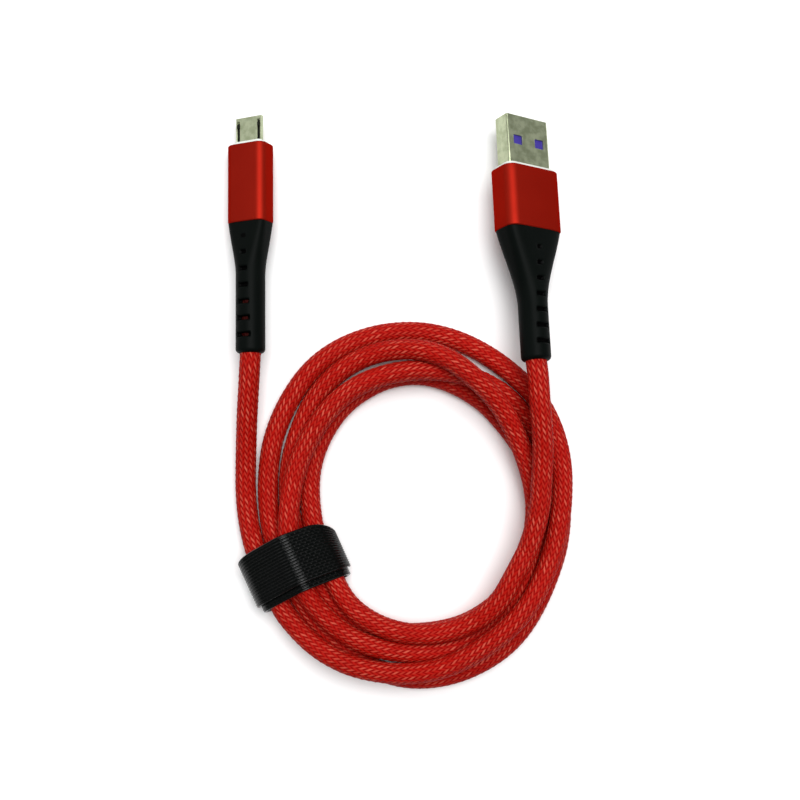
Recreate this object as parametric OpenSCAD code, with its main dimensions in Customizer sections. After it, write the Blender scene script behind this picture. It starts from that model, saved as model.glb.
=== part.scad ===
// Charging cable: USB-A to micro-USB, wound into a coil and held by a hook-and-loop strap.
// Millimetres, +Z up. The origin is the middle of the coil, on the surface that the cable lies on.
// Each plug is built along its own +Z, from the cable's end of its boot (0) to the tip of its shell,
// with its broad faces at -Y and +Y, and is then laid down in place.

/* [Cable] */
// Diameter of the braided cable
cable_d = 4.9; // [4.8:0.1:5]
// Diameter of the inner jacket that goes on into the housings
jacket_d = 3.4; // [3.3:0.1:3.5]
// Radius of the void that the wires run in
core_r = 1.35; // [1.3:0.05:1.4]
// Radius of one insulated wire
wire_r = 0.28; // [0.2:0.02:0.28]

/* [Coil] */
// Inner radius of the coil's round ends
coil_inner_r = 24.5; // [24:0.5:25.5]
// Width of the band of turns
coil_band = 13; // [12.5:0.5:13.5]
// Straight stretch between the round ends
coil_straight = 9; // [7:1:11]
// Height of the stacked turns
coil_h = 10; // [9.5:0.1:10.2]

/* [USB-A plug] */
// Length of the flexible boot
a_boot_l = 30; // [29:0.5:31]
// Width of the housing
a_housing_w = 15.4; // [15.2:0.1:15.8]
// Thickness of the housing
a_housing_t = 8; // [7.8:0.1:8.2]
// Length of the housing
a_housing_l = 14.5; // [14.5:0.1:15.5]
// Length of metal shell that shows
a_shell_l = 12.6; // [12:0.1:12.8]
// Turn of the plug about its own length
a_roll = 33; // [31:1:35]
// Fall of the plug towards its tip
a_tilt = 10; // [9:0.1:10]
// Turn of the plug on the table
a_yaw = 2.4; // [0:0.2:3]

/* [Micro-USB plug] */
// Length of the flexible boot
m_boot_l = 30.2; // [29.8:0.1:30.6]
// Width of the housing
m_housing_w = 10.2; // [10:0.1:10.6]
// Thickness of the housing
m_housing_t = 6.2; // [6.1:0.1:6.4]
// Length of the housing
m_housing_l = 18.4; // [18:0.1:18.8]
// Length of metal shell that shows
m_shell_l = 6.7; // [6.4:0.1:6.8]
// Turn of the plug about its own length
m_roll = -25; // [-27:1:-23]
// Fall of the plug towards its tip
m_tilt = 4.6; // [4:0.1:4.8]
// Turn of the plug on the table
m_yaw = 0.6; // [0:0.2:1]

/* [Strap] */
// Width of the strap, along the cable
strap_w = 14.2; // [13:0.1:15]
// Thickness of one layer of the strap
strap_t = 1.2; // [1:0.1:1.2]
// Opening of the strap across the bundle
strap_span = 21; // [20.8:0.2:21.4]
// Height of the strap's opening
strap_rise = 9.4; // [9.3:0.1:9.6]
// Length of the tail that peels up
tail_l = 14.5; // [13:0.5:14.5]

/* [Hidden] */
$fn = 48;
cable_r = cable_d / 2;
jacket_r = jacket_d / 2;

// Where the cable leaves each boot
a_exit = [27, 32.8, 14.9];
m_exit = [-37.8, 34.8, 8.6];

// Routes of the two leads, from the boot into the coil
a_route = [a_exit, [27.4, 28.6, 15.6], [27.7, 24.1, 15.5], [28.2, 19.6, 14.9], [28.6, 15.1, 14],
           [28.7, 10.6, 13.1], [28.5, 6, 12.6], [28.3, 1.5, 12.4], [27.5, -3.1, 12.2],
           [26.2, -7.6, 11.9], [24.6, -12.2, 11.1], [22.3, -16.9, 9.7], [19.4, -21.4, 8.1]];
m_route = [m_exit, [-38, 31.1, 8.7], [-38.4, 25.7, 7.9], [-38.9, 20.3, 6.4], [-39.3, 14.9, 4.7],
           [-39.6, 9.5, 3.4], [-39.7, 3.6, 2.8], [-39.3, -2.3, 2.8], [-38.3, -7.6, 3.2],
           [-36.9, -12.2, 3.8], [-34.2, -17.6, 3.8]];

// Places along the plugs
a_front = a_boot_l + a_housing_l;
a_tip = a_front + a_shell_l;
m_front = m_boot_l + m_housing_l;
m_tip = m_front + m_shell_l;
braid_stop = 0.5;      // the braid ends this far short of the housing
jacket_in = 4.6;       // the jacket goes this far into the housing
spigot_l = 2;          // the boot goes this far into the housing
crimp_at = 2.2;
crimp_l = 2;
crimp_t = 0.35;
wire_start = -4;       // the wires are drawn from here, within the boot's stiff end
wall = 0.8;            // wall of both housings

// USB-A: standard plug, 12 x 4.5 mm outside
a_shell_w = 12;
a_shell_t = 4.5;
a_sheet = 0.3;
a_back = a_front - 5.5; // back end of the shell, inside the mould
a_pins = [-3.5, -1, 1, 3.5];
a_pin_w = 1;
a_pin_t = 0.15;
a_pin_y = -0.05;
a_window = [2.5, 2.2];
a_window_x = 3.1;
a_window_back = 6;     // middle of the windows, back from the tip

// Micro-B: standard plug, 6.85 x 1.8 mm outside
m_shell_w = 6.85;
m_shell_t = 1.8;
m_narrow = 5.4;        // width of the narrower face
m_sheet = 0.25;
m_back = m_front - 6.8;
m_pins = [-1.3, -0.65, 0, 0.65, 1.3];
m_wired = [-1.3, -0.65, 0, 1.3];
m_pin_w = 0.4;
m_pin_t = 0.1;
m_pin_y = -0.05;
latch_x = 2.75;
latch_w = 0.5;
slot_w = 0.75;
slot_front = 0.8;      // metal left in front of the latch slots

wire_lanes = [-0.99, -0.33, 0.33, 0.99];
wire_bend = 1.2;       // the wires reach their contacts this far before their ends

// Direction of the strap from the coil's middle, how far out its loop is, and its shift along the cable
strap_angle = 204.3;
strap_middle = 31.6;
strap_along = 0.7;
strap_top = strap_rise + 2 * strap_t;
tail_gap = 0.05;

// ---- shapes ----

// A bar along Z with rounded long edges
module bar(w, t, z0, z1, r) {
    translate([-w / 2, -t / 2 + r, z0]) cube([w, t - 2 * r, z1 - z0]);
    translate([-w / 2 + r, -t / 2, z0]) cube([w - 2 * r, t, z1 - z0]);
    for (x = [-1, 1], y = [-1, 1])
        translate([x * (w / 2 - r), y * (t / 2 - r), z0]) cylinder(r = r, h = z1 - z0);
}

// Outline of a micro-B shell, shrunk by d all round
function micro_outline(d) =
    let (w = m_shell_w / 2 - d, n = m_narrow / 2 - d * 0.6, t = m_shell_t / 2 - d)
    [[w, t], [-w, t], [-w, 0], [-n, -t], [n, -t], [w, 0]];

module micro_bar(d, z0, z1)
    translate([0, 0, z0]) linear_extrude(z1 - z0) polygon(micro_outline(d));

// Lay a plug down, tip towards +Y, and put the end of its boot at place
module lay(place, roll, tilt, yaw)
    translate(place) rotate([-tilt, 0, yaw]) rotate([0, roll, 0])
        rotate([-90, 0, 0]) rotate([0, 0, 180]) children();

module as_usb_a() lay(a_exit, a_roll, a_tilt, a_yaw) children();
module as_micro() lay(m_exit, m_roll, m_tilt, m_yaw) children();

// A tube swept along points, closed at both ends; it never runs along the direction called across
tube_sides = 10;
function unit(v) = v / norm(v);
function heading(p, i) = unit(p[min(i + 1, len(p) - 1)] - p[max(i - 1, 0)]);
function ring(p, i, r, n, across, first, last) =
    let (t = i == 0 ? first : i == len(p) - 1 ? last : heading(p, i),
         side = unit(cross(t, across)), up = cross(side, t))
    [for (k = [0:n - 1]) let (a = 360 * k / n) p[i] + r * (cos(a) * side + sin(a) * up)];
module tube(p, r, n, across, first, last) {
    rings = len(p);
    points = [for (i = [0:rings - 1]) each ring(p, i, r, n, across, first, last)];
    sides = [for (i = [0:rings - 2], k = [0:n - 1])
        [i * n + k, i * n + (k + 1) % n, (i + 1) * n + (k + 1) % n, (i + 1) * n + k]];
    caps = [[for (k = [0:n - 1]) n - 1 - k], [for (k = [0:n - 1]) (rings - 1) * n + k]];
    polyhedron(points, concat(sides, caps), convexity = 4);
}

// ---- cable ----

// Section of the band of turns, with its corners rounded
module coil_section() {
    r = cable_r / 1.2;
    translate([coil_inner_r, r]) square([coil_band, coil_h - 2 * r]);
    translate([coil_inner_r + r, 0]) square([coil_band - 2 * r, coil_h]);
    for (x = [coil_inner_r + r, coil_inner_r + coil_band - r], y = [r, coil_h - r])
        translate([x, y]) circle(r);
}

module strap_place(z)
    rotate([0, 0, strap_angle]) translate([strap_middle, strap_along, z]) children();

module cable_coil() color("firebrick") difference() {
    union() {
        translate([0, coil_straight / 2, 0])
            rotate_extrude(angle = 180) coil_section();
        translate([0, -coil_straight / 2, 0]) rotate([0, 0, 180])
            rotate_extrude(angle = 180) coil_section();
        for (turn = [0, 180])
            rotate([0, 0, turn]) translate([0, coil_straight / 2, 0]) rotate([90, 0, 0])
                linear_extrude(coil_straight) coil_section();
    }
    // room for the strap's lower layer
    strap_place(-1) translate([-coil_band, -strap_w / 2 - 1, 0])
        cube([2 * coil_band, strap_w + 2, 1 + strap_t + 0.1]);
}

module cable_lead_usb_a() color("crimson")
    tube(a_route, cable_r, tube_sides, [0, 0, 1],
         [sin(a_yaw) * cos(a_tilt), -cos(a_yaw) * cos(a_tilt), sin(a_tilt)],
         heading(a_route, len(a_route) - 1));

module cable_lead_micro() color("crimson")
    tube(m_route, cable_r, tube_sides, [0, 0, 1],
         [sin(m_yaw) * cos(m_tilt), -cos(m_yaw) * cos(m_tilt), sin(m_tilt)],
         heading(m_route, len(m_route) - 1));

// ---- strap ----

module strap_bar(grow, r)
    rotate([90, 0, 0]) translate([0, strap_top / 2, 0])
        bar(strap_span + 2 * grow, strap_rise + 2 * grow, -strap_w / 2, strap_w / 2, r);

module strap_band() color([0.1, 0.1, 0.1]) strap_place(0) difference() {
    strap_bar(strap_t, 3.8);
    rotate([90, 0, 0]) translate([0, strap_top / 2, 0])
        bar(strap_span, strap_rise, -strap_w, strap_w, 2.6);
}

// The free end lies on the band's top and peels up from the side away from the coil's middle
module strap_tail() color([0.16, 0.16, 0.16])
    strap_place(strap_top + tail_gap) translate([-tail_l / 2, -strap_w / 2, 0])
        cube([tail_l, strap_w, strap_t - 0.2]);

// ---- boots ----

boot_sides = 32;
boot_r = 3.4;

// Radius of a rounded-square outline with half-axes w and t at angle a; n is 2 for an ellipse
function outline(w, t, n, a) =
    let (c = cos(a), s = sin(a))
    [sign(c) * w * pow(abs(c), 2 / n), sign(s) * t * pow(abs(s), 2 / n)];

// Flare of the boot: 0 where it is round, 1 where it meets the housing
function flare(z, from, length) =
    let (u = max(0, (z - from) / (length - from))) u * u * (2 - u);

// How far the rim at the cable's end is rounded in
function rim(z) = z < 1 ? 1 - sqrt(1 - (1 - z) * (1 - z)) : 0;

module boot_skin(length, from, w, t) {
    n = boot_sides;
    zs = concat([0, 0.15, 0.5, 1], [from / 2], [for (k = [0:10]) from + (length - from) * k / 10]);
    points = [for (z = zs) let (f = flare(z, from, length), in = rim(z))
        for (k = [0:n - 1])
            let (p = outline(boot_r + f * (w - boot_r) - in, boot_r + f * (t - boot_r) - in,
                             2 + 2.5 * f, 360 * k / n))
            [p[0], p[1], z]];
    sides = [for (i = [0:len(zs) - 2], k = [0:n - 1])
        [i * n + k, (i + 1) * n + k, (i + 1) * n + (k + 1) % n, i * n + (k + 1) % n]];
    caps = [[for (k = [0:n - 1]) k], [for (k = [0:n - 1]) (len(zs) - 1) * n + n - 1 - k]];
    polyhedron(points, concat(sides, caps), convexity = 6);
}

notch_l = 1.2;
notches = 7;

// length, start of the flare, housing's width and thickness, first notch and pitch
module boot(length, from, w, t, notch_at, pitch) color([0.12, 0.12, 0.12]) difference() {
    union() {
        boot_skin(length, from, w / 2 - 0.15, t / 2 - 0.15);
        bar(w - 2 * wall, t - 2 * wall, length - 0.5, length + spigot_l, 1.8);
    }
    translate([0, 0, -1]) cylinder(r = cable_r, h = length - braid_stop + 1);
    cylinder(r = jacket_r, h = length + spigot_l + 1);
    for (k = [0:notches - 1], side = [-1, 1])
        translate([0, side * 4, notch_at + pitch * k])
            cube([3.5 - 0.38 * k, 4, notch_l], center = true);
}

module usb_a_boot() as_usb_a() boot(a_boot_l, 12.5, a_housing_w, a_housing_t, 4.1, 3.6);
module micro_boot() as_micro() boot(m_boot_l, 18, m_housing_w, m_housing_t, 4.1, 3.8);

// ---- cable inside the plugs ----

module cable_end(length) color("firebrick") difference() {
    union() {
        cylinder(r = cable_r, h = length - braid_stop);
        cylinder(r = jacket_r, h = length + jacket_in);
    }
    translate([0, 0, length + wire_start - 0.5]) cylinder(r = core_r, h = jacket_in + 10);
}

module usb_a_cable_end() as_usb_a() cable_end(a_boot_l);
module micro_cable_end() as_micro() cable_end(m_boot_l);

module crimp(length) color("silver") difference() {
    translate([0, 0, length + crimp_at]) cylinder(r = jacket_r + crimp_t, h = crimp_l);
    cylinder(r = jacket_r, h = length + 10);
}

module usb_a_crimp() as_usb_a() crimp(a_boot_l);
module micro_crimp() as_micro() crimp(m_boot_l);

// One wire: straight in the jacket, out to its contact, then flat on the solder
wire_sides = 8;
module wire(x0, x1, y1, z0, z_out, z_in, z1)
    tube([[x0, 0, z0], [x0, 0, z_out], [x1, y1, z_in], [x1, y1, z1]],
         wire_r, wire_sides, [0, 1, 0], [0, 0, 1], [0, 0, 1]);

solder_h = 0.4;
a_wire_y = a_pin_y - solder_h - wire_r;
m_wire_y = m_pin_y - solder_h - wire_r;
a_wire_end = a_back - 1;
m_wire_end = m_back - 1;

module usb_a_wire(k) as_usb_a()
    wire(wire_lanes[k], a_pins[k], a_wire_y, a_boot_l + wire_start, a_boot_l + jacket_in,
         a_wire_end - wire_bend, a_wire_end);
module micro_wire(k) as_micro()
    wire(wire_lanes[k], m_wired[k], m_wire_y, m_boot_l + wire_start, m_boot_l + jacket_in,
         m_wire_end - wire_bend, m_wire_end);

module usb_a_wire_red() color("red") usb_a_wire(0);
module usb_a_wire_white() color("white") usb_a_wire(1);
module usb_a_wire_green() color("green") usb_a_wire(2);
module usb_a_wire_black() color("dimgray") usb_a_wire(3);
module micro_wire_red() color("red") micro_wire(0);
module micro_wire_white() color("white") micro_wire(1);
module micro_wire_green() color("green") micro_wire(2);
module micro_wire_black() color("dimgray") micro_wire(3);

// Solder under each contact's tail, down to the wire
module solder(xs, z, r, y_top) color("gainsboro")
    for (x = xs) translate([x, y_top, z - 0.6]) rotate([90, 0, 0]) cylinder(r = r, h = solder_h);

module usb_a_solder_joints() as_usb_a() solder(a_pins, a_wire_end, 0.45, a_pin_y);
module micro_solder_joints() as_micro() solder(m_wired, m_wire_end, 0.18, m_pin_y);

// ---- USB-A plug ----

module usb_a_housing() color("red") as_usb_a() difference() {
    bar(a_housing_w, a_housing_t, a_boot_l, a_front, 2.4);
    bar(a_housing_w - 2 * wall, a_housing_t - 2 * wall, a_boot_l - 1, a_front + 1, 1.6);
}

module usb_a_inner_mould() color("white") as_usb_a() difference() {
    union() {
        bar(a_housing_w - 2 * wall, a_housing_t - 2 * wall, a_boot_l + jacket_in, a_front, 1.6);
        bar(a_housing_w - 2 * wall, a_housing_t - 2 * wall, a_front - 1, a_front + 0.65, 1.6);
    }
    translate([-4.6, -2.2, a_boot_l]) cube([9.2, 4.4, a_back - a_boot_l]);
    bar(a_shell_w, a_shell_t, a_back, a_front + 1, 0.5);
}

module usb_a_shell() color("silver") as_usb_a() difference() {
    bar(a_shell_w, a_shell_t, a_back, a_tip, 0.5);
    bar(a_shell_w - 2 * a_sheet, a_shell_t - 2 * a_sheet, a_back - 1, a_tip + 1, 0.25);
    for (x = [-1, 1])
        translate([x * a_window_x, 0, a_tip - a_window_back])
            cube([a_window[0], 2 * a_shell_t, a_window[1]], center = true);
}

module usb_a_strips() for (x = a_pins)
    translate([x - a_pin_w / 2, a_pin_y, a_back - 2.2])
        cube([a_pin_w, a_pin_t, a_tip - 1.8 - a_back + 2.2]);

tongue_w = a_shell_w - 2 * a_sheet - 0.3;
module usb_a_tongue() color([0.3, 0.25, 0.7]) as_usb_a() difference() {
    union() {
        translate([-tongue_w / 2, a_pin_y + a_pin_t, a_back]) cube([tongue_w, 1.8, a_tip - 0.8 - a_back]);
        translate([-tongue_w / 2, -1.9, a_back]) cube([tongue_w, 3.8, a_front - 0.6 - a_back]);
    }
    usb_a_strips();
}

module usb_a_contacts() color("gold") as_usb_a() usb_a_strips();

// ---- micro-B plug ----

module micro_housing() color("red") as_micro() difference() {
    bar(m_housing_w, m_housing_t, m_boot_l, m_front, 2);
    bar(m_housing_w - 2 * wall, m_housing_t - 2 * wall, m_boot_l - 1, m_front + 1, 1.4);
}

module micro_inner_mould() color("white") as_micro() difference() {
    union() {
        bar(m_housing_w - 2 * wall, m_housing_t - 2 * wall, m_boot_l + jacket_in, m_front + 0.3, 1.4);
        bar(m_housing_w - 3.6 * wall, m_housing_t - 3.2 * wall, m_front, m_front + 0.85, 1);
    }
    translate([-3.2, -1.75, m_boot_l]) cube([6.4, 3.5, m_back - m_boot_l]);
    micro_bar(0, m_back, m_front + 2);
}

module micro_shell() color("silver") as_micro() difference() {
    micro_bar(0, m_back, m_tip);
    micro_bar(m_sheet, m_back - 1, m_tip + 1);
    for (x = [-latch_x, latch_x])
        translate([x - slot_w / 2, 0.1, m_front - 1])
            cube([slot_w, m_shell_t, m_tip - slot_front - m_front + 1]);
}

module micro_strips() for (x = m_pins)
    translate([x - m_pin_w / 2, m_pin_y, m_back - 2.2])
        cube([m_pin_w, m_pin_t, m_tip - 0.8 - m_back + 2.2]);

module micro_insulator() color([0.15, 0.15, 0.15]) as_micro() difference() {
    union() {
        translate([-2.1, -0.62, m_back]) cube([4.2, 0.62 + m_pin_y + m_pin_t, m_tip - 0.5 - m_back]);
        translate([-2.1, -0.62, m_back]) cube([4.2, 1.24, m_front - 1 - m_back]);
    }
    micro_strips();
}

module micro_contacts() color("gold") as_micro() micro_strips();

// A leaf in the shell's slot, with a hook that stands out of the broad face
latch_root = m_front - 0.8;
module micro_latch(side) color("silver") as_micro() translate([side * latch_x - latch_w / 2, 0, 0]) {
    translate([0, 0.3, latch_root]) cube([latch_w, 0.2, m_tip - slot_front - 0.3 - latch_root]);
    translate([0, 0.3, m_tip - slot_front - 1.7]) cube([latch_w, 0.85, 0.9]);
}
module micro_latch_left() micro_latch(1);
module micro_latch_right() micro_latch(-1);

cable_coil();
cable_lead_usb_a();
cable_lead_micro();
strap_band();
strap_tail();
usb_a_cable_end();
usb_a_boot();
usb_a_housing();
usb_a_inner_mould();
usb_a_shell();
usb_a_tongue();
usb_a_contacts();
usb_a_solder_joints();
usb_a_crimp();
usb_a_wire_red();
usb_a_wire_white();
usb_a_wire_green();
usb_a_wire_black();
micro_cable_end();
micro_boot();
micro_housing();
micro_inner_mould();
micro_shell();
micro_insulator();
micro_contacts();
micro_solder_joints();
micro_crimp();
micro_latch_left();
micro_latch_right();
micro_wire_red();
micro_wire_white();
micro_wire_green();
micro_wire_black();
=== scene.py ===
"""The looks of a charging cable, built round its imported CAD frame.

Shapes are worked out in millimetres, in the frame's own axes, and become metres as their meshes
are made. Each plug has axes of its own: +Z from the cable's end of the boot to the tip of the
shell, with the broad faces at -Y and +Y.
"""
import math

import bpy
import numpy as np
from mathutils import Matrix, Vector


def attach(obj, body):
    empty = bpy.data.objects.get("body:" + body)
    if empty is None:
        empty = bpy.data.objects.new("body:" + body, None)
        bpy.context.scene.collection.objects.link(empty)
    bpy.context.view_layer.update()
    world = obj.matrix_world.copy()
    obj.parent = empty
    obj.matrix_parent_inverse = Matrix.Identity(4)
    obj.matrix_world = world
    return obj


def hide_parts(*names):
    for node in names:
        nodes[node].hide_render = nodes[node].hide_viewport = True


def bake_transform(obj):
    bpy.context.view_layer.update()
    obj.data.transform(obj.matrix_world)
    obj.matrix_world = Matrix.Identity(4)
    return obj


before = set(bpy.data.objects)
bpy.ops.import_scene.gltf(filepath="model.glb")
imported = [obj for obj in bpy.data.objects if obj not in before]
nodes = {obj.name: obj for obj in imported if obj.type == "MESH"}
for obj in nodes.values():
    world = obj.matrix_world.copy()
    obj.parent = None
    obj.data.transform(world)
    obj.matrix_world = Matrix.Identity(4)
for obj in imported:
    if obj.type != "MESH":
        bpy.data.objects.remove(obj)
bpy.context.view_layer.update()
scene = bpy.context.scene

MM = 0.001
CABLE_D = 4.9
CABLE_R = CABLE_D / 2

# Where the cable leaves each boot, and the two leads from there into the coil
A_ROUTE = [
    (27, 32.8, 14.9), (27.4, 28.6, 15.6), (27.7, 24.1, 15.5), (28.2, 19.6, 14.9),
    (28.6, 15.1, 14), (28.7, 10.6, 13.1), (28.5, 6, 12.6), (28.3, 1.5, 12.4),
    (27.5, -3.1, 12.2), (26.2, -7.6, 11.9), (24.6, -12.2, 11.1)]
M_ROUTE = [
    (-37.8, 34.8, 8.6), (-38, 31.1, 8.7), (-38.4, 25.7, 7.9), (-38.9, 20.3, 6.4),
    (-39.3, 14.9, 4.7), (-39.6, 9.5, 3.4), (-39.7, 3.6, 2.8), (-39.3, -2.3, 2.8),
    (-38.3, -7.6, 3.2), (-36.9, -12.2, 3.8)]

# The strap: its direction from the coil's middle, how far out it is, its shift along the cable
# and the size of its band
STRAP_ANGLE = math.radians(204.3)
STRAP_MIDDLE = 31.6
STRAP_ALONG = 0.7
STRAP_W = 14.2
STRAP_T = 1.15

# The coil, turn by turn from the strap round: (radius, height) of the cord every 30 degrees
FIRST_STATION = 210
STATION = 30
LANES = [
    [(38.7, 3.7), (40.1, 6.8), (38.6, 6.7), (35.4, 9.2), (33.4, 9.5), (33.7, 7.3),
     (36.3, 6.3), (38.2, 2.9), (40.1, 2.4), (39.9, 2.4), (37, 2.4), (34.2, 2.4)],
    [(34, 3.7), (38, 2.4), (41.3, 2.4), (40, 2.4), (35.9, 2.4), (34.2, 2.4),
     (33.1, 2.4), (32.2, 5.9), (31, 7.3), (30.2, 7.3), (28.7, 6.8), (28.9, 7.3)],
    [(31.3, 8.3), (33.9, 7.2), (34.4, 5.4), (34.7, 4.7), (29.3, 6.8), (27.8, 7.3),
     (27.9, 7.4), (31.3, 10.8), (35.6, 6.3), (35.5, 5), (31.7, 2.5), (29.5, 2.4)],
    [(29.2, 3.7), (31.1, 2.4), (30.9, 2.4), (30.8, 2.4), (30.6, 2.4), (29.2, 2.4),
     (28.3, 2.4), (29.2, 2.4), (30.1, 2.4), (28.7, 2.4), (26.4, 2.4), (24.8, 2.7)],
    [(24.5, 3.7), (28.2, 5.9), (29.9, 7.3), (29.7, 8.3), (27.5, 11.1)]]


# ---- camera ----

EYE = (-3.5, 24.1, 261)
LENS = 49.5


def make_camera():
    """Straight above the cable, with +Y up in the picture."""
    data = bpy.data.cameras.new("camera")
    data.lens = LENS
    data.clip_start = 0.01
    camera = bpy.data.objects.new("camera", data)
    camera.location = [c * MM for c in EYE]
    scene.collection.objects.link(camera)
    scene.camera = camera


make_camera()


# ---- curves ----

def smooth_line(points, steps):
    """A Catmull-Rom line through the points, in so many steps between each two."""
    p = np.asarray(points, float)
    p = np.vstack([2 * p[0] - p[1], p, 2 * p[-1] - p[-2]])
    t = np.linspace(0, 1, steps, endpoint=False)[:, None]
    out = []
    for a, b, c, d in zip(p, p[1:], p[2:], p[3:]):
        out.append(0.5 * (2 * b + (c - a) * t + (2 * a - 5 * b + 4 * c - d) * t ** 2
                          + (3 * b - a - 3 * c + d) * t ** 3))
    return np.vstack(out + [p[-2:-1]])


def lengths(line):
    """Distance along the line to each of its points."""
    return np.r_[0, np.cumsum(np.linalg.norm(np.diff(line, axis=0), axis=1))]


def evenly(line, step):
    """The same line with points about one step apart."""
    along = lengths(line)
    places = np.linspace(0, along[-1], int(round(along[-1] / step)) + 1)
    return np.stack([np.interp(places, along, c) for c in line.T], 1)


def ease(x, low, high):
    """0 below low, 1 above high, smooth between; low may be the larger."""
    t = np.clip((x - low) / (high - low), 0, 1)
    return t * t * (3 - 2 * t)


# ---- the cord's path ----

STRAND_STEP = 3.15
ROUNDS = 260
FULL_WEIGHT = 0.6       # the share of the rounds in which the strands have their full weight
HOME_PULL = 0.3
WEIGHT = 0.054
LIGHT_WEIGHT = 0.4      # their share of it in the other rounds
TOUCHING = CABLE_D * 1.003
NEIGHBOURS = 2.2        # points within so many cable widths along the cord don't push each other

# Across the strap (OUT) and along the cable through it (SIDE), and the room in it: the strands
# pass within BUNDLE of its middle and under STRAP_ROOF, and are free further off
OUT = np.array([math.cos(STRAP_ANGLE), math.sin(STRAP_ANGLE)])
SIDE = np.array([-OUT[1], OUT[0]])
BUNDLE = 7.2
STRAP_ROOF = 10.55
NEAR_STRAP = 27, 16     # how far its effect reaches, across it and along the cable
RELEASE = 8             # millimetres along the cable over which it lets go
SPREAD = 5.5            # by then the strands may be this much further across
RISE = 11               # and this much higher


def planned_line():
    """Micro-USB lead, turns and USB-A lead, before the turns have settled on each other."""
    lanes = np.array([lane for turn in LANES for lane in turn])
    angles = np.radians(FIRST_STATION + STATION * np.arange(len(lanes)))
    a, r, z = smooth_line(np.c_[angles, lanes], 6).T
    turns = np.c_[r * np.cos(a), r * np.sin(a), z][2:-3]
    return np.vstack([smooth_line(M_ROUTE, 4), turns, smooth_line(A_ROUTE[::-1], 4)[1:]])


def nearest(p, q, u, v):
    """Where the segments p + s u and q + t v come closest."""
    w = p - q
    a, b, c = (u * u).sum(1), (u * v).sum(1), (v * v).sum(1)
    d, e = (u * w).sum(1), (v * w).sum(1)
    s = np.clip((b * e - c * d) / (a * c - b * b + 1e-9), 0, 1)
    t = np.clip((b * s + e) / c, 0, 1)
    return np.clip((b * t - d) / a, 0, 1), t


def push_apart(p, free, first, second):
    """Moves strands that lie in each other until they touch; False once none does."""
    near = np.linalg.norm(p[first] - p[second], axis=1) < CABLE_D + 2 * STRAND_STEP
    i, j = first[near], second[near]
    u, v = p[i + 1] - p[i], p[j + 1] - p[j]
    s, t = nearest(p[i], p[j], u, v)
    gap = p[i] + s[:, None] * u - p[j] - t[:, None] * v
    apart = np.linalg.norm(gap, axis=1) + 1e-9
    hit = apart < TOUCHING
    if not hit.any():
        return False
    i, j, s, t = i[hit], j[hit], s[hit], t[hit]
    push = gap[hit] * ((TOUCHING - apart[hit]) / 2 / apart[hit])[:, None]
    moved, count = np.zeros_like(p), np.zeros(len(p))
    for at, share, sign in ((i, 1 - s, 1), (i + 1, s, 1), (j, 1 - t, -1), (j + 1, t, -1)):
        np.add.at(moved, at, push * (share * sign)[:, None])
        np.add.at(count, at, share)
    p += moved / np.maximum(count, 1)[:, None] * (free > 0)[:, None]
    return True


def keep_in_strap(p, free):
    """Keeps the strands off the floor, and inside the strap where they pass through it."""
    x, y = p[:, :2] @ OUT - STRAP_MIDDLE, p[:, :2] @ SIDE - STRAP_ALONG
    near = (np.abs(x) < NEAR_STRAP[0]) & (np.abs(y) < NEAR_STRAP[1])
    away = np.clip((np.abs(y) - STRAP_W / 2 - 0.5) / RELEASE, 0, 1)
    floor = CABLE_R + np.where(near, (STRAP_T + 0.05) * (1 - away) ** 2, 0)
    roof = np.where(near, STRAP_ROOF - CABLE_R + RISE * away, np.inf)
    p[:, 2] = np.where(free > 0, np.clip(p[:, 2], floor, roof), p[:, 2])
    outer = BUNDLE + SPREAD * away
    inner = outer + np.clip(y / BUNDLE, -1.3, 1.3) ** 2
    over = np.where(near & (free > 0), np.clip(x, -inner, outer) - x, 0)
    p[:, :2] += over[:, None] * OUT


def settled(line):
    """Lets the turns sink onto each other under their weight, with the leads held where they lie."""
    p = evenly(line, STRAND_STEP)
    home, n = p.copy(), len(p)
    free = np.ones(n)
    free[:len(evenly(smooth_line(M_ROUTE, 4), STRAND_STEP)) - 1] = 0
    free[1 - len(evenly(smooth_line(A_ROUTE, 4), STRAND_STEP)):] = 0
    free *= np.convolve(np.pad(free, 3, mode="edge"), np.ones(7) / 7, "valid")
    first, second = np.triu_indices(n - 1, int(NEIGHBOURS * CABLE_D / STRAND_STEP) + 1)
    for k in range(ROUNDS):
        off = p - home
        move = -HOME_PULL * off
        move[1:-1] += 0.5 * ((off[:-2] + off[2:]) / 2 - off[1:-1])
        move[:, 2] = -WEIGHT * (1 if k < FULL_WEIGHT * ROUNDS else LIGHT_WEIGHT)
        move[1:-1, 2] += 0.5 * ((p[:-2, 2] + p[2:, 2]) / 2 - p[1:-1, 2])
        p += move * free[:, None]
        for _ in range(3):
            if not push_apart(p, free, first, second):
                break
            keep_in_strap(p, free)
    return p


def cord_path(step):
    """From the USB-A boot to the micro-USB boot, in even steps."""
    strands = settled(planned_line())
    return evenly(smooth_line(strands[::-1], 8), step)


# ---- meshes ----

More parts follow.
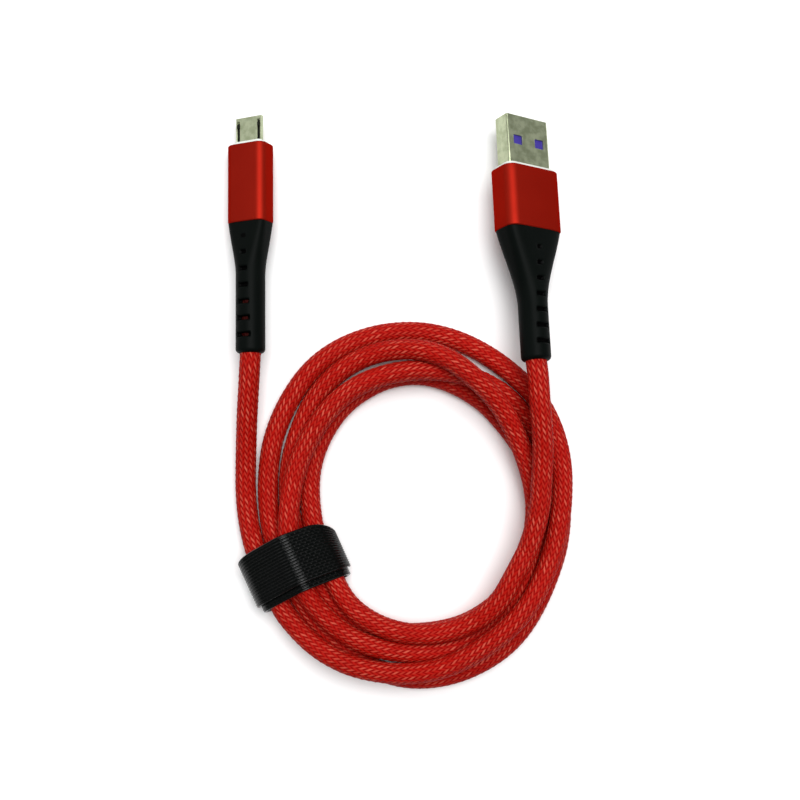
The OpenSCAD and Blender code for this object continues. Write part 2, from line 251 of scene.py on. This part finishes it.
def grid_piece(name, points, along, closed_rows=False, caps=False):
    """A mesh of rings of points in millimetres, with a UV of (share around, along)."""
    rows, cols = points.shape[:2]
    i, k = np.meshgrid(np.arange(rows if closed_rows else rows - 1), np.arange(cols),
                       indexing="ij")
    i, k = i.ravel(), k.ravel()
    below, right = (i + 1) % rows, (k + 1) % cols
    faces = np.stack([i * cols + k, i * cols + right, below * cols + right, below * cols + k], 1)
    along = np.append(along, 2 * along[-1] - along[-2])
    u, v = np.stack([k, k + 1, k + 1, k], 1) / cols, along[np.stack([i, i, i + 1, i + 1], 1)]
    uv = np.stack([u, v], 2).reshape(-1, 2)
    faces = faces.tolist()
    if caps:
        faces += [list(range(cols))[::-1], list(range((rows - 1) * cols, rows * cols))]
        ends = np.linspace(0, 1, cols)
        uv = np.vstack([uv, np.c_[ends, 0 * ends + along[0]], np.c_[ends, 0 * ends + along[-2]]])
    mesh = bpy.data.meshes.new(name)
    mesh.from_pydata((points.reshape(-1, 3) * MM).tolist(), [], faces)
    mesh.uv_layers.new(name="weave").uv.foreach_set("vector", uv.astype(np.float32).ravel())
    mesh.polygons.foreach_set("use_smooth", np.ones(len(faces), bool))
    mesh.update()
    piece = bpy.data.objects.new(name, mesh)
    scene.collection.objects.link(piece)
    return piece


def put_in_uv(piece, values):
    """Makes the first UV number this value at each vertex."""
    corners = np.zeros(len(piece.data.loops), np.int32)
    piece.data.loops.foreach_get("vertex_index", corners)
    layer = piece.data.uv_layers["weave"].uv
    uv = np.zeros(len(corners) * 2, np.float32)
    layer.foreach_get("vector", uv)
    uv[::2] = values[corners]
    layer.foreach_set("vector", uv)


def frames_along(line):
    """Side and up vectors along a line that turn with it and never twist about it."""
    tangents = np.gradient(line, axis=0)
    tangents /= np.linalg.norm(tangents, axis=1)[:, None]
    side = np.cross([0.3, 0.2, 1], tangents[0])
    sides = []
    for t in tangents:
        side = side - t * (side @ t)
        side = side / np.linalg.norm(side)
        sides.append(side)
    sides = np.array(sides)
    return sides, np.cross(tangents, sides)


# ---- the braid ----

COLUMNS = 12        # columns of light dashes round the cable
REPEAT = 1.58       # millimetres from one dash to the next along the cable
LEAN = 1.35         # how many repeats a dash would climb across a whole column
STAGGER = 0.6       # repeats by which each column is ahead of the last
BRAID_SIDES = 48
RELIEF = 0.17       # millimetres between the braid's crowns and its hollows


def braid_relief(around, along):
    """Height of the braid, 0 to 1: light dashes in columns, red yarns leaning back between."""
    column = np.floor(around * COLUMNS)
    across = around * COLUMNS - column - 0.5
    phase = along / REPEAT + STAGGER * column + LEAN * across
    dash = ease(np.abs(phase - np.floor(phase) - 0.5), 0.5, 0.05) * ease(np.abs(across), 0.5, 0.1)
    column = np.floor(around * COLUMNS + 0.5)
    across = around * COLUMNS - column
    phase = along / REPEAT + STAGGER * column - LEAN * across
    back = ease(np.abs(phase - np.floor(phase) - 0.5), 0.5, 0.05) * ease(np.abs(across), 0.45, 0.1)
    return np.maximum(dash, 0.8 * back)


def braid_tube(name, line, radius, along):
    """A braided tube along the line; along gives each point's distance along the cable."""
    sides, ups = frames_along(line)
    share = np.arange(BRAID_SIDES) / BRAID_SIDES
    height = braid_relief(share[None, :], along[:, None])
    r = (radius - RELIEF * (1 - height))[:, :, None]
    a = 2 * math.pi * share[None, :, None]
    points = line[:, None] + r * (np.cos(a) * sides[:, None] + np.sin(a) * ups[:, None])
    return grid_piece(name, points, along, caps=True)


CORD_STEP = 0.5
IN_BOOT = 1.5       # the cord's own mesh goes this far into each boot


def make_cord():
    """The whole free cable as one braided tube, and the points that it follows."""
    path = cord_path(CORD_STEP)
    first = path[0] + (path[0] - path[3]) / np.linalg.norm(path[0] - path[3]) * IN_BOOT
    last = path[-1] + (path[-1] - path[-4]) / np.linalg.norm(path[-1] - path[-4]) * IN_BOOT
    line = np.vstack([first, path, last])
    cord = braid_tube("braided_cable", line, CABLE_R, lengths(line))
    return cord, path


cord, path = make_cord()
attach(cord, "cable")
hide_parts("cable_coil", "cable_lead_usb_a", "cable_lead_micro")


# ---- shader building ----

class Shader:
    """A material and short ways to add nodes to it."""

    def __init__(self, name, **settings):
        self.material = bpy.data.materials.new(name)
        self.material.use_nodes = True
        self.tree = self.material.node_tree
        self.surface = self.tree.nodes["Principled BSDF"]
        for socket, value in settings.items():
            self.surface.inputs[socket.replace("_", " ")].default_value = value

    def node(self, kind, values=(), **settings):
        """Adds a node, sets or links its inputs in order, and returns its first output."""
        node = self.tree.nodes.new("ShaderNode" + kind)
        for key, value in settings.items():
            setattr(node, key, value)
        for socket, value in zip(node.inputs, values):
            self.put(socket, value)
        return node.outputs[0]

    def put(self, socket, value):
        """Links or sets one input; None leaves it as it is."""
        if isinstance(value, bpy.types.NodeSocket):
            self.tree.links.new(value, socket)
        elif value is not None:
            socket.default_value = value

    def math(self, operation, *values):
        return self.node("Math", values, operation=operation)

    def band(self, x, low, high):
        """0 at low and 1 at high, smooth between; low may be the larger."""
        ends = (low, high, 0, 1) if low < high else (high, low, 1, 0)
        return self.node("MapRange", (x, *ends), interpolation_type="SMOOTHSTEP")

    def mix(self, share, a, b):
        """A colour between a and b."""
        node = self.tree.nodes.new("ShaderNodeMix")
        node.data_type = "RGBA"
        for name, value in (("Factor_Float", share), ("A_Color", a), ("B_Color", b)):
            socket = next(s for s in node.inputs if s.identifier == name)
            self.put(socket, value)
        return next(s for s in node.outputs if s.identifier == "Result_Color")

    def noise(self, place, scale, detail=2.0, roughness=0.5):
        node = self.tree.nodes.new("ShaderNodeTexNoise")
        for name, value in (("Vector", place), ("Scale", scale), ("Detail", detail),
                            ("Roughness", roughness)):
            self.put(node.inputs[name], value)
        return node.outputs[0]

    def place(self, stretch=(1, 1, 1)):
        """Position on the object in metres, stretched."""
        where = self.tree.nodes.new("ShaderNodeTexCoord").outputs["Object"]
        return self.node("VectorMath", (where, stretch), operation="MULTIPLY")

    def weave(self):
        """The two parts of the weave UV."""
        uv = self.tree.nodes.new("ShaderNodeUVMap")
        uv.uv_map = "weave"
        parts = self.tree.nodes.new("ShaderNodeSeparateXYZ")
        self.put(parts.inputs[0], uv.outputs[0])
        return parts.outputs[0], parts.outputs[1]

    def colour(self, value):
        self.put(self.surface.inputs["Base Color"], value)

    def roughness(self, share, low, high):
        self.put(self.surface.inputs["Roughness"],
                 self.node("MapRange", (share, 0.0, 1.0, low, high)))

    def bump(self, height, distance, strength):
        """Bump of that many metres for a height of 1."""
        node = self.tree.nodes.new("ShaderNodeBump")
        for name, value in (("Height", height), ("Distance", distance), ("Strength", strength)):
            self.put(node.inputs[name], value)
        self.put(self.surface.inputs["Normal"], node.outputs[0])


def rgb(red, green, blue):
    """A display colour, 0 to 255, as the linear colour that a shader takes."""
    values = [c / 255 for c in (red, green, blue)]
    return (*[v / 12.92 if v <= 0.04045 else ((v + 0.055) / 1.055) ** 2.4 for v in values], 1)


# ---- materials ----

def braid_material(name, shade=1.0):
    """Glossy red yarns with lighter dashes in columns, leaning round the cable. The hollows between
    the yarns are darkened as painted shade, and a shade below 1 darkens every colour, also painted
    shade.
    """
    s = Shader(name, Specular_IOR_Level=0.03)

    def tone(*colour):
        return rgb(*[c * shade for c in colour])

    u, v = s.weave()
    around, along = s.math("MULTIPLY", u, COLUMNS), s.math("DIVIDE", v, REPEAT)

    def yarns(shift, lean, thick, wide):
        """Mask of one set of yarns, and the numbers of its column and dash."""
        turned = s.math("ADD", around, shift)
        column = s.math("FLOOR", turned)
        across = s.math("SUBTRACT", s.math("SUBTRACT", turned, column), 0.5)
        climb = s.math("ADD", s.math("MULTIPLY", column, STAGGER), s.math("MULTIPLY", across, lean))
        phase = s.math("ADD", along, climb)
        number = s.math("FLOOR", phase)
        off = s.math("ABSOLUTE", s.math("SUBTRACT", s.math("SUBTRACT", phase, number), 0.5))
        mask = s.math("MULTIPLY", s.band(off, thick[0], thick[1]),
                      s.band(s.math("ABSOLUTE", across), wide[0], wide[1]))
        return mask, column, number

    dash, column, number = yarns(0, LEAN, (0.36, 0.14), (0.36, 0.16))
    round_dash = yarns(0, LEAN, (0.5, 0.1), (0.5, 0.2))[0]
    back = yarns(0.5, -LEAN, (0.5, 0.12), (0.42, 0.15))[0]
    own = s.node("TexWhiteNoise", (s.node("CombineXYZ", (column, number, 0.0)),),
                 noise_dimensions="3D")
    drift = s.noise(s.place(), 90.0)
    red = s.mix(drift, tone(142, 5, 3), tone(168, 8, 5))
    red = s.mix(s.math("MULTIPLY", back, 0.4), red, tone(188, 34, 23))
    tan = s.mix(own, tone(186, 60, 44), tone(210, 98, 78))
    share = s.math("MULTIPLY", dash, s.node("MapRange", (own, 0.0, 1.0, 0.3, 0.75)))
    height = s.math("MAXIMUM", round_dash, s.math("MULTIPLY", back, 0.85))
    # Painted shade: the hollows between the yarns are darkened towards a deep red.
    painted_hollow_shade = s.band(height, 0.3, 0.0)
    s.colour(s.mix(s.math("MULTIPLY", painted_hollow_shade, 0.5), s.mix(share, red, tan), tone(92, 3, 2)))
    fibres = s.noise(s.node("CombineXYZ", (s.math("MULTIPLY", u, 120), v, 0.0)), 3.0, 1.0)
    s.roughness(fibres, 0.3, 0.46)
    s.bump(s.math("ADD", height, s.math("MULTIPLY", fibres, 0.25)), 0.00014, 0.9)
    return s.material


def rubber_material():
    """Black satin rubber, very slightly green, with a fine grain; the first UV number is how deep the
    face is sunk there, and the colour is darkened towards black as deep as it sinks: painted shade in
    the notches."""
    s = Shader("boot_rubber", Specular_IOR_Level=0.03)
    notch_shade = s.weave()[0]
    grain = s.noise(s.place(), 2600.0, 3.0, 0.6)
    cloud = s.noise(s.place(), 160.0, 2.0)
    colour = s.mix(cloud, rgb(6, 9, 8), rgb(11, 15, 13))
    # Painted shade: the notches' floors are darkened towards black.
    s.colour(s.mix(s.band(notch_shade, 0.1, 0.7), colour, rgb(1, 1, 1)))
    s.roughness(cloud, 0.4, 0.52)
    s.bump(grain, 0.00004, 0.5)
    return s.material


def red_metal_material():
    """Anodised aluminium with a fine satin blast."""
    s = Shader("red_metal", Metallic=1.0, Specular_Tint=rgb(190, 90, 80))
    grain = s.noise(s.place(), 3800.0, 3.0, 0.65)
    cloud = s.noise(s.place(), 120.0, 2.0)
    s.colour(s.mix(cloud, rgb(154, 32, 21), rgb(168, 38, 25)))
    s.roughness(grain, 0.56, 0.68)
    s.bump(grain, 0.000012, 0.5)
    return s.material


def nickel_material():
    """Rolled and plated sheet with faint drawing marks along it and small smudges."""
    s = Shader("nickel", Metallic=1.0)
    marks = s.noise(s.place((9, 1, 9)), 900.0, 3.0, 0.6)
    cloud = s.noise(s.place(), 520.0, 4.0, 0.6)
    s.colour(s.mix(s.band(cloud, 0.35, 0.65), rgb(164, 173, 140), rgb(192, 200, 168)))
    s.roughness(cloud, 0.34, 0.5)
    s.bump(marks, 0.00001, 0.5)
    return s.material


def plastic_material(name, dark, light):
    """Moulded plastic: a slight cloudiness in its colour and a fine grain."""
    s = Shader(name, Specular_IOR_Level=0.5)
    cloud = s.noise(s.place(), 300.0, 2.0)
    s.colour(s.mix(cloud, rgb(*dark), rgb(*light)))
    s.roughness(cloud, 0.35, 0.5)
    s.bump(s.noise(s.place(), 3000.0, 2.0), 0.00001, 0.4)
    return s.material


def plain_metal_material(name, dark, light, low, high):
    """Plated or soldered metal, a little uneven."""
    s = Shader(name, Metallic=1.0)
    cloud = s.noise(s.place(), 900.0, 3.0)
    s.colour(s.mix(cloud, rgb(*dark), rgb(*light)))
    s.roughness(cloud, low, high)
    s.bump(cloud, 0.00003, 0.4)
    return s.material


RIB = 0.7           # millimetres from one rib of the strap to the next
FLOAT = 1.3         # millimetres from one float to the next along a rib


def strap_material():
    """Black nylon: ribs along the strap, each made of short shiny floats, with painted shade in the
    grooves between them.
    """
    s = Shader("strap_weave", Specular_IOR_Level=0.2)
    u, v = s.weave()
    rib = s.math("DIVIDE", u, RIB)
    number = s.math("FLOOR", rib)
    across = s.math("ABSOLUTE", s.math("SUBTRACT", s.math("SUBTRACT", rib, number), 0.5))
    float_at = s.math("ADD", s.math("DIVIDE", v, FLOAT), s.math("MULTIPLY", number, 0.5))
    float_number = s.math("FLOOR", float_at)
    end = s.math("ABSOLUTE", s.math("SUBTRACT", s.math("SUBTRACT", float_at, float_number), 0.5))
    height = s.math("MULTIPLY", s.band(across, 0.5, 0.1), s.band(end, 0.5, 0.25))
    own = s.noise(s.place(), 700.0, 1.0)
    colour = s.mix(own, rgb(1, 3, 2), rgb(5, 8, 7))
    # Painted shade: the grooves between ribs and the ends of the floats are darkened towards black.
    s.colour(s.mix(s.math("MULTIPLY", s.band(height, 0.35, 0.0), 0.8), colour, rgb(1, 1, 1)))
    s.roughness(height, 0.36, 0.12)
    s.bump(height, 0.00003, 0.5)
    return s.material


MATERIALS = {
    "cable_braid": braid_material("cable_braid"),
    # A darker copy of the braid for the cable inside the boots: painted shade.
    "braid_painted_shade_in_boot": braid_material("braid_painted_shade_in_boot", 0.27),
    "boot_rubber": rubber_material(),
    "red_metal": red_metal_material(),
    "nickel": nickel_material(),
    "white_plastic": plastic_material("white_plastic", (206, 212, 206), (226, 231, 226)),
    "purple_plastic": plastic_material("purple_plastic", (48, 36, 126), (62, 50, 152)),
    "black_plastic": plastic_material("black_plastic", (16, 16, 17), (26, 26, 28)),
    "gold": plain_metal_material("gold", (214, 170, 84), (232, 192, 110), 0.2, 0.34),
    "solder": plain_metal_material("solder", (176, 178, 180), (204, 206, 208), 0.22, 0.45),
    "crimp_metal": plain_metal_material("crimp_metal", (150, 152, 154), (178, 180, 182), 0.3, 0.5),
    "wire_red": plastic_material("wire_red", (176, 20, 18), (196, 30, 26)),
    "wire_white": plastic_material("wire_white", (214, 214, 208), (232, 232, 226)),
    "wire_green": plastic_material("wire_green", (24, 112, 50), (34, 132, 62)),
    "wire_black": plastic_material("wire_black", (18, 18, 20), (32, 32, 34)),
    # A dark copy of the plated steel for the latches: painted shade for the slots that they lie in.
    "latch_steel_painted_shade": plain_metal_material("latch_steel_painted_shade", (34, 36, 32), (58, 60, 54), 0.4, 0.6),
    "strap_weave": strap_material()}


def finish_piece(piece, slot, finish=None):
    """Gives a new piece the material for the record's slot, or the given finish instead."""
    piece.data.materials.clear()
    piece.data.materials.append(MATERIALS[finish or slot])


cord.data.materials.append(MATERIALS["cable_braid"])

CAD_SLOTS = {
    "usb_a_inner_mould": "white_plastic", "usb_a_shell": "nickel", "usb_a_tongue": "purple_plastic",
    "usb_a_contacts": "gold", "usb_a_solder_joints": "solder", "usb_a_crimp": "crimp_metal",
    "micro_inner_mould": "white_plastic", "micro_shell": "nickel", "micro_insulator": "black_plastic",
    "micro_contacts": "gold", "micro_solder_joints": "solder", "micro_crimp": "crimp_metal",
    # The latches take the dark steel: painted shade for their slots.
    "micro_latch_left": "latch_steel_painted_shade", "micro_latch_right": "latch_steel_painted_shade"}
for plug in ("usb_a", "micro"):
    for wire in ("red", "white", "green", "black"):
        CAD_SLOTS[f"{plug}_wire_{wire}"] = f"wire_{wire}"

# Radius in millimetres of the edges of the nodes that show
EDGES = {"usb_a_shell": 0.12, "micro_shell": 0.08, "usb_a_inner_mould": 0.12,
         "micro_inner_mould": 0.1, "usb_a_tongue": 0.1, "micro_insulator": 0.06,
         "usb_a_contacts": 0.03, "micro_contacts": 0.02}


def dress_cad_nodes():
    """Finishes, and softened edges, for the CAD nodes that stay."""
    for name, slot in CAD_SLOTS.items():
        node = nodes[name]
        node.data.materials.clear()
        node.data.materials.append(MATERIALS[slot])
        if name in EDGES:
            weld = node.modifiers.new("weld", "WELD")
            weld.merge_threshold = 1e-6
            bevel = node.modifiers.new("edges", "BEVEL")
            bevel.width = EDGES[name] * MM
            bevel.segments = 2
            bevel.angle_limit = math.radians(40)


dress_cad_nodes()


# ---- the plugs ----

# Millimetres from the cable's end of a boot between which it bends
BEND_FROM = 5
BEND_TO = 20


class Plug:
    """One end of the cable: where it lies and its sizes."""

    def __init__(self, name, body, at, roll, tilt, yaw, boot, flare, width, thick, length,
                 corner, notch_at, pitch, floor):
        self.name, self.body = name, body
        self.boot, self.flare = boot, flare
        self.width, self.thick, self.length, self.corner = width, thick, length, corner
        self.notch_at, self.pitch, self.floor = notch_at, pitch, floor
        turn = [Matrix.Rotation(math.radians(d), 3, axis) for d, axis in
                ((yaw, "Z"), (-tilt, "X"), (roll, "Y"), (-90, "X"), (180, "Z"))]
        self.turn = np.array(turn[0] @ turn[1] @ turn[2] @ turn[3] @ turn[4])
        self.at = np.array(at, float)

    def place(self, points):
        """Points in the plug's own axes, put where the plug lies."""
        return np.asarray(points) @ self.turn.T + self.at

    def bend(self, piece):
        """Bakes the piece's placement into its mesh; the ends of the boot's bend are worked out but
        not used.
        """
        start, end = self.place([(0, 0, BEND_FROM), (0, 0, BEND_TO)]) * MM
        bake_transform(piece)


USB_A = Plug("usb_a", "usb_a_plug", A_ROUTE[0], roll=33, tilt=10, yaw=2.4, boot=30, flare=12.5,
             width=15.4, thick=8, length=14.5, corner=2.4, notch_at=4.1, pitch=3.6, floor=2.6)
MICRO = Plug("micro", "micro_plug", M_ROUTE[0], roll=-25, tilt=4.6, yaw=0.6, boot=30.2, flare=18,
             width=10.2, thick=6.2, length=18.4, corner=2, notch_at=4.1, pitch=3.8, floor=2.2)

BOOT_R = 3.4
BOOT_STEP = 0.2
BOOT_SIDES = 132
BORE_R = 2
NOTCHES = 7
NOTCH_L = 1
NOTCH_REACH = 1.75      # half the width of the first notch, at the cable's end
NARROWER = 0.19         # and how much less the next one has
OPEN_NOTCHES = 13       # up to here a notch may reach the cable
CLOSED_FLOOR = 2.6
SET_IN = 0.15           # how far the boot stands in from the housing's sides
WALL = 0.8


def super_outline(w, t, power, count):
    """Even points round a rounded rectangle with half-axes w and t; power 2 is an ellipse."""
    a = np.linspace(0, 2 * math.pi, 721)
    c, s = np.cos(a), np.sin(a)
    x, y = np.sign(c) * w * np.abs(c) ** (2 / power), np.sign(s) * t * np.abs(s) ** (2 / power)
    along = lengths(np.c_[x, y])
    places = np.arange(count) / count * along[-1]
    return np.c_[np.interp(places, along, x), np.interp(places, along, y)]


def notch_depth(plug, x, z):
    """How far the boot's broad face sinks at x and z, from 0 to 1."""
    depth = np.zeros_like(x)
    for k in range(NOTCHES):
        reach = NOTCH_REACH - NARROWER * k
        along = np.abs(z - plug.notch_at - plug.pitch * k)
        here = (ease(along, NOTCH_L / 2 + 0.12, NOTCH_L / 2 - 0.18)
                * ease(np.abs(x), reach + 0.15, reach - 0.2))
        depth = np.maximum(depth, here)
    return depth


def make_boot(plug):
    """The flexible boot: round at the cable, flaring to the housing, with notches in both faces."""
    zs = np.r_[0, 0.05, 0.15, 0.3, 0.5, 0.75, np.arange(1, plug.boot, BOOT_STEP), plug.boot]
    rings, notch_shade_depths = [], []
    for z in zs:
        u = max(0, (z - plug.flare) / (plug.boot - plug.flare))
        f = u * u * (2 - u)
        rim = 1 - math.sqrt(1 - (1 - z) ** 2) if z < 1 else 0
        w = BOOT_R + f * (plug.width / 2 - SET_IN - BOOT_R) - rim
        t = BOOT_R + f * (plug.thick / 2 - SET_IN - BOOT_R) - rim
        xy = super_outline(w, t, 2 + 2.5 * f, BOOT_SIDES)
        floor = f + (plug.floor if z < OPEN_NOTCHES else CLOSED_FLOOR)
        depth = notch_depth(plug, xy[:, 0], z)
        notch_shade_depths.append(depth)
        sunk = np.maximum(np.abs(xy[:, 1]) - floor, 0) * depth
        xy[:, 1] -= np.sign(xy[:, 1]) * sunk
        rings.append(np.c_[xy, np.full(BOOT_SIDES, z)])
    inner = super_outline(1, 1, 2, BOOT_SIDES)
    bore = [(plug.boot, BORE_R), (plug.boot / 2, BORE_R), (2.2, BORE_R),
            (1.2, CABLE_R + 0.02), (0.1, CABLE_R + 0.04)]
    for z, r in bore:
        rings.append(np.c_[inner * r, np.full(BOOT_SIDES, z)])
        notch_shade_depths.append(np.zeros(BOOT_SIDES))
    points = plug.place(np.array(rings))
    boot = grid_piece(f"{plug.name}_boot_skin", points, np.arange(len(rings)) * BOOT_STEP,
                      closed_rows=True)
    # The notches' depths go into the UV, where the rubber's colour darkens with them: painted shade.
    put_in_uv(boot, np.ravel(notch_shade_depths))
    finish_piece(boot, "boot_rubber")
    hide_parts(f"{plug.name}_boot")
    plug.bend(boot)


END_STEP = 0.45


def make_cable_end(plug):
    """The braided cable inside the boot, in a darker copy of the braid's material: painted shade for
    the boot's shadow.
    """
    zs = np.arange(0.6, plug.boot - 0.5, END_STEP)
    line = plug.place(np.c_[0 * zs, 0 * zs, zs])
    piece = braid_tube(f"{plug.name}_cable_in_boot", line, CABLE_R, zs)
    finish_piece(piece, "cable_braid", "braid_painted_shade_in_boot")
    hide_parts(f"{plug.name}_cable_end")
    plug.bend(piece)


CORNER_STEPS = 8
END_EDGE = 0.35      # radius of the housings' end edges


def bar_outline(w, t, r):
    """Points round a rectangle with corners of radius r."""
    points = []
    for k, (x, y) in enumerate(((1, 1), (-1, 1), (-1, -1), (1, -1))):
        a = np.radians(90 * k + np.linspace(0, 90, CORNER_STEPS + 1))
        points.append(np.c_[x * (w / 2 - r) + r * np.cos(a), y * (t / 2 - r) + r * np.sin(a)])
    return np.vstack(points)


def make_housing(plug):
    """The metal housing: a sleeve with softly rounded ends."""
    z0, z1 = plug.boot, plug.boot + plug.length
    quarter = np.radians(np.linspace(0, 90, 5))
    start = [(z0 + END_EDGE * (1 - math.cos(a)), END_EDGE * (1 - math.sin(a))) for a in quarter]
    middle = [(z0 + plug.length * k / 6, 0) for k in range(1, 6)]
    end = [(z0 + z1 - z, inset) for z, inset in start[::-1]]
    rings = []
    for z, inset in start + middle + end:
        xy = bar_outline(plug.width - 2 * inset, plug.thick - 2 * inset, plug.corner - inset)
        rings.append(np.c_[xy, np.full(len(xy), z)])
    for z in (z1, (z0 + z1) / 2, z0):
        xy = bar_outline(plug.width - 2 * WALL, plug.thick - 2 * WALL, plug.corner - WALL)
        rings.append(np.c_[xy, np.full(len(xy), z)])
    points = plug.place(np.array(rings))
    piece = grid_piece(f"{plug.name}_housing_shell", points, np.arange(len(rings)) * 1.0,
                       closed_rows=True)
    finish_piece(piece, "red_metal")
    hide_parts(f"{plug.name}_housing")
    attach(piece, plug.body)


for plug in (USB_A, MICRO):
    make_boot(plug)
    make_cable_end(plug)
    make_housing(plug)


# ---- the strap ----

RIB_H = 0.2         # height of the strap's ribs
EDGE = 0.4          # radius of its edges, seen from the side
SLIP = 0.8          # the band lies this far down the cable, and the tail as far up
STRAP_LEAN = 0.25   # the loop leans: this far along the cable for every millimetre down
LEAN_ABOUT = 9.7    # the height at which it is where it would be if it didn't
LAYER_W = 12        # width of one layer
TAIL_T = 0.9
TAIL_LOW = 4        # the tail's ends are this high
TIP = 0.8           # millimetres over which its ends are rounded
TURN_AT = 6.5       # from here to its ends the loop turns down
PULLED_IN = 0.5, 1.5     # how far each edge is drawn in at the outer and the inner end
SWING = 0.6, 1.5         # how far those ends swing down the cable
CORNERS = (-7.5, 3.7), (-7.5, 4.8), (7.3, 3.7), (7.3, 4.5)    # (across, height), as strands
LOOP_STEP = 0.35


def strap_crossings():
    """Where the strands pass through the middle of the strap: (across, height) of each."""
    x, y = path[:, :2] @ OUT - STRAP_MIDDLE, path[:, :2] @ SIDE - STRAP_ALONG
    through = np.nonzero((y[:-1] * y[1:] <= 0) & (np.abs(x[:-1]) < 15))[0]
    return np.c_[x[through], path[through, 2]]


def hull_of(points):
    """Corners of the convex hull, anticlockwise."""
    points = sorted(map(tuple, points))

    def half(run):
        out = []
        for p in run:
            while len(out) > 1 and ((out[-1][0] - out[-2][0]) * (p[1] - out[-2][1])
                                    <= (out[-1][1] - out[-2][1]) * (p[0] - out[-2][0])):
                out.pop()
            out.append(p)
        return out[:-1]

    return np.array(half(points) + half(points[::-1]))


def loop_round(centres, radius):
    """A closed line at that distance round the hull of the centres, starting under its middle."""
    hull = hull_of(centres)
    edges = np.roll(hull, -1, axis=0) - hull
    turns = np.arctan2(-edges[:, 0], edges[:, 1])
    line = []
    for k, centre in enumerate(hull):
        before, after = turns[k - 1], turns[k]
        after = before + (after - before) % (2 * math.pi)
        for a in np.linspace(before, after, 24):
            line.append(centre + radius * np.array([math.cos(a), math.sin(a)]))
    line = evenly(np.array(line + line[:1]), LOOP_STEP)[:-1]
    start = np.argmin(line[:, 1] * 50 + np.abs(line[:, 0]))
    return np.roll(line, -start, axis=0)


def strap_section(thick):
    """Points round the strap's own section: (across its width, height over its inner face)."""
    half = LAYER_W / 2
    y = np.linspace(-half + EDGE, half - EDGE, int(LAYER_W / RIB * 6))
    top = np.c_[y, thick - RIB_H + RIB_H * np.abs(np.sin(math.pi * y / RIB)) ** 0.8]
    under = y[::-1][::4]
    bottom = np.c_[under, 0 * under]
    a = np.radians(np.linspace(70, -70, 7))
    high = np.c_[half - EDGE + EDGE * np.cos(a), thick / 2 * (1 + np.sin(a))]
    low = np.c_[-high[::-1, 0], high[::-1, 1]]
    return np.vstack([top, high, bottom, low])


def strap_place(x, y, z):
    """Strap coordinates (across the bundle, along it, up) to the frame's."""
    flat = (x + STRAP_MIDDLE)[..., None] * OUT + (y + STRAP_ALONG)[..., None] * SIDE
    return np.concatenate([flat, z[..., None]], -1)


def shifted_down(line, across, slip):
    """Place along the cable of the strap's points, by ring, for their places across its width."""
    end = (line[:, 0] < 0).astype(int)
    reach = np.array([line[:, 0].max(), -line[:, 0].min()])[end]
    share = np.clip((np.abs(line[:, 0]) - TURN_AT) / (reach - TURN_AT), 0, 1)
    turned = 1 - np.sqrt(1 - share ** 2)
    narrow = 1 - turned * np.array(PULLED_IN)[end] / (LAYER_W / 2)
    y = across[None, :] * narrow[:, None] + STRAP_LEAN * (LEAN_ABOUT - line[:, 1:])
    return y + slip + (turned * np.array(SWING)[end])[:, None]


def strap_piece(name, line, thick, slip, closed):
    """The strap's section swept along a line in the plane across the bundle."""
    section = strap_section(thick)
    ahead, behind = np.roll(line, -1, axis=0), np.roll(line, 1, axis=0)
    if not closed:
        ahead[-1], behind[0] = line[-1], line[0]
    t = ahead - behind
    t /= np.linalg.norm(t, axis=1)[:, None]
    normal = np.c_[t[:, 1], -t[:, 0]]
    height = np.tile(section[:, 1], (len(line), 1))
    if not closed:
        near = np.minimum(lengths(line), lengths(line)[-1] - lengths(line))
        share = np.sqrt(1 - (1 - np.clip(near / TIP, 0.06, 1)) ** 2)
        height = thick / 2 + (height - thick / 2) * share[:, None]
    x = line[:, :1] + normal[:, :1] * height
    z = line[:, 1:] + normal[:, 1:] * height
    y = shifted_down(line, section[:, 0], slip)
    piece = grid_piece(name, strap_place(x, y, z), lengths(line), closed_rows=closed,
                       caps=not closed)
    put_in_uv(piece, np.tile(section[:, 0], len(line)) + 20 * RIB)
    return piece


def make_strap():
    """The band round the bundle, and the tail that comes up its outer side and over its top."""
    centres = np.vstack([strap_crossings(), CORNERS])
    inner = CABLE_R + 0.05
    band = strap_piece("strap_band_weave", loop_round(centres, inner), STRAP_T, SLIP, closed=True)
    finish_piece(band, "strap_weave")
    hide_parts("strap_band")
    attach(band, "cable")

    line = loop_round(centres, inner + STRAP_T + 0.02)
    tail_line = line[line[:, 1] > TAIL_LOW]
    tail = strap_piece("strap_tail_weave", tail_line, TAIL_T, -SLIP, closed=False)
    finish_piece(tail, "strap_weave")
    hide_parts("strap_tail")
    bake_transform(tail)


make_strap()


# ---- surroundings ----

def make_floor():
    """A plain pale floor."""
    size = 1.5
    mesh = bpy.data.meshes.new("floor")
    mesh.from_pydata([(-size, -size, 0), (size, -size, 0), (size, size, 0), (-size, size, 0)], [],
                     [(0, 1, 2, 3)])
    floor = bpy.data.objects.new("floor", mesh)
    floor.location.z = -0.0001
    scene.collection.objects.link(floor)
    s = Shader("floor", Roughness=0.9, Specular_IOR_Level=0.1)
    s.colour(rgb(252, 252, 252))
    mesh.materials.append(s.material)


def make_light(name, place, size, power):
    """A soft square light that faces the coil's middle."""
    data = bpy.data.lights.new(name, "AREA")
    data.size = size
    data.energy = power
    light = bpy.data.objects.new(name, data)
    light.location = place
    light.rotation_euler = Vector(place).to_track_quat("Z", "Y").to_euler()
    scene.collection.objects.link(light)


def make_surroundings():
    """The floor, three soft lights and a dim white world."""
    make_floor()
    make_light("overhead", (0.1, 0.2, 0.8), 0.55, 7.8)
    make_light("back", (-0.1, 0.9, 0.5), 0.4, 1.8)
    make_light("left", (-0.78, 0.32, 0.45), 0.5, 0.8)
    world = bpy.data.worlds.new("world")
    world.use_nodes = True
    world.node_tree.nodes["Background"].inputs["Color"].default_value = (1, 1, 1, 1)
    world.node_tree.nodes["Background"].inputs["Strength"].default_value = 0.16
    scene.world = world
    scene.view_settings.view_transform = "Standard"


make_surroundings()
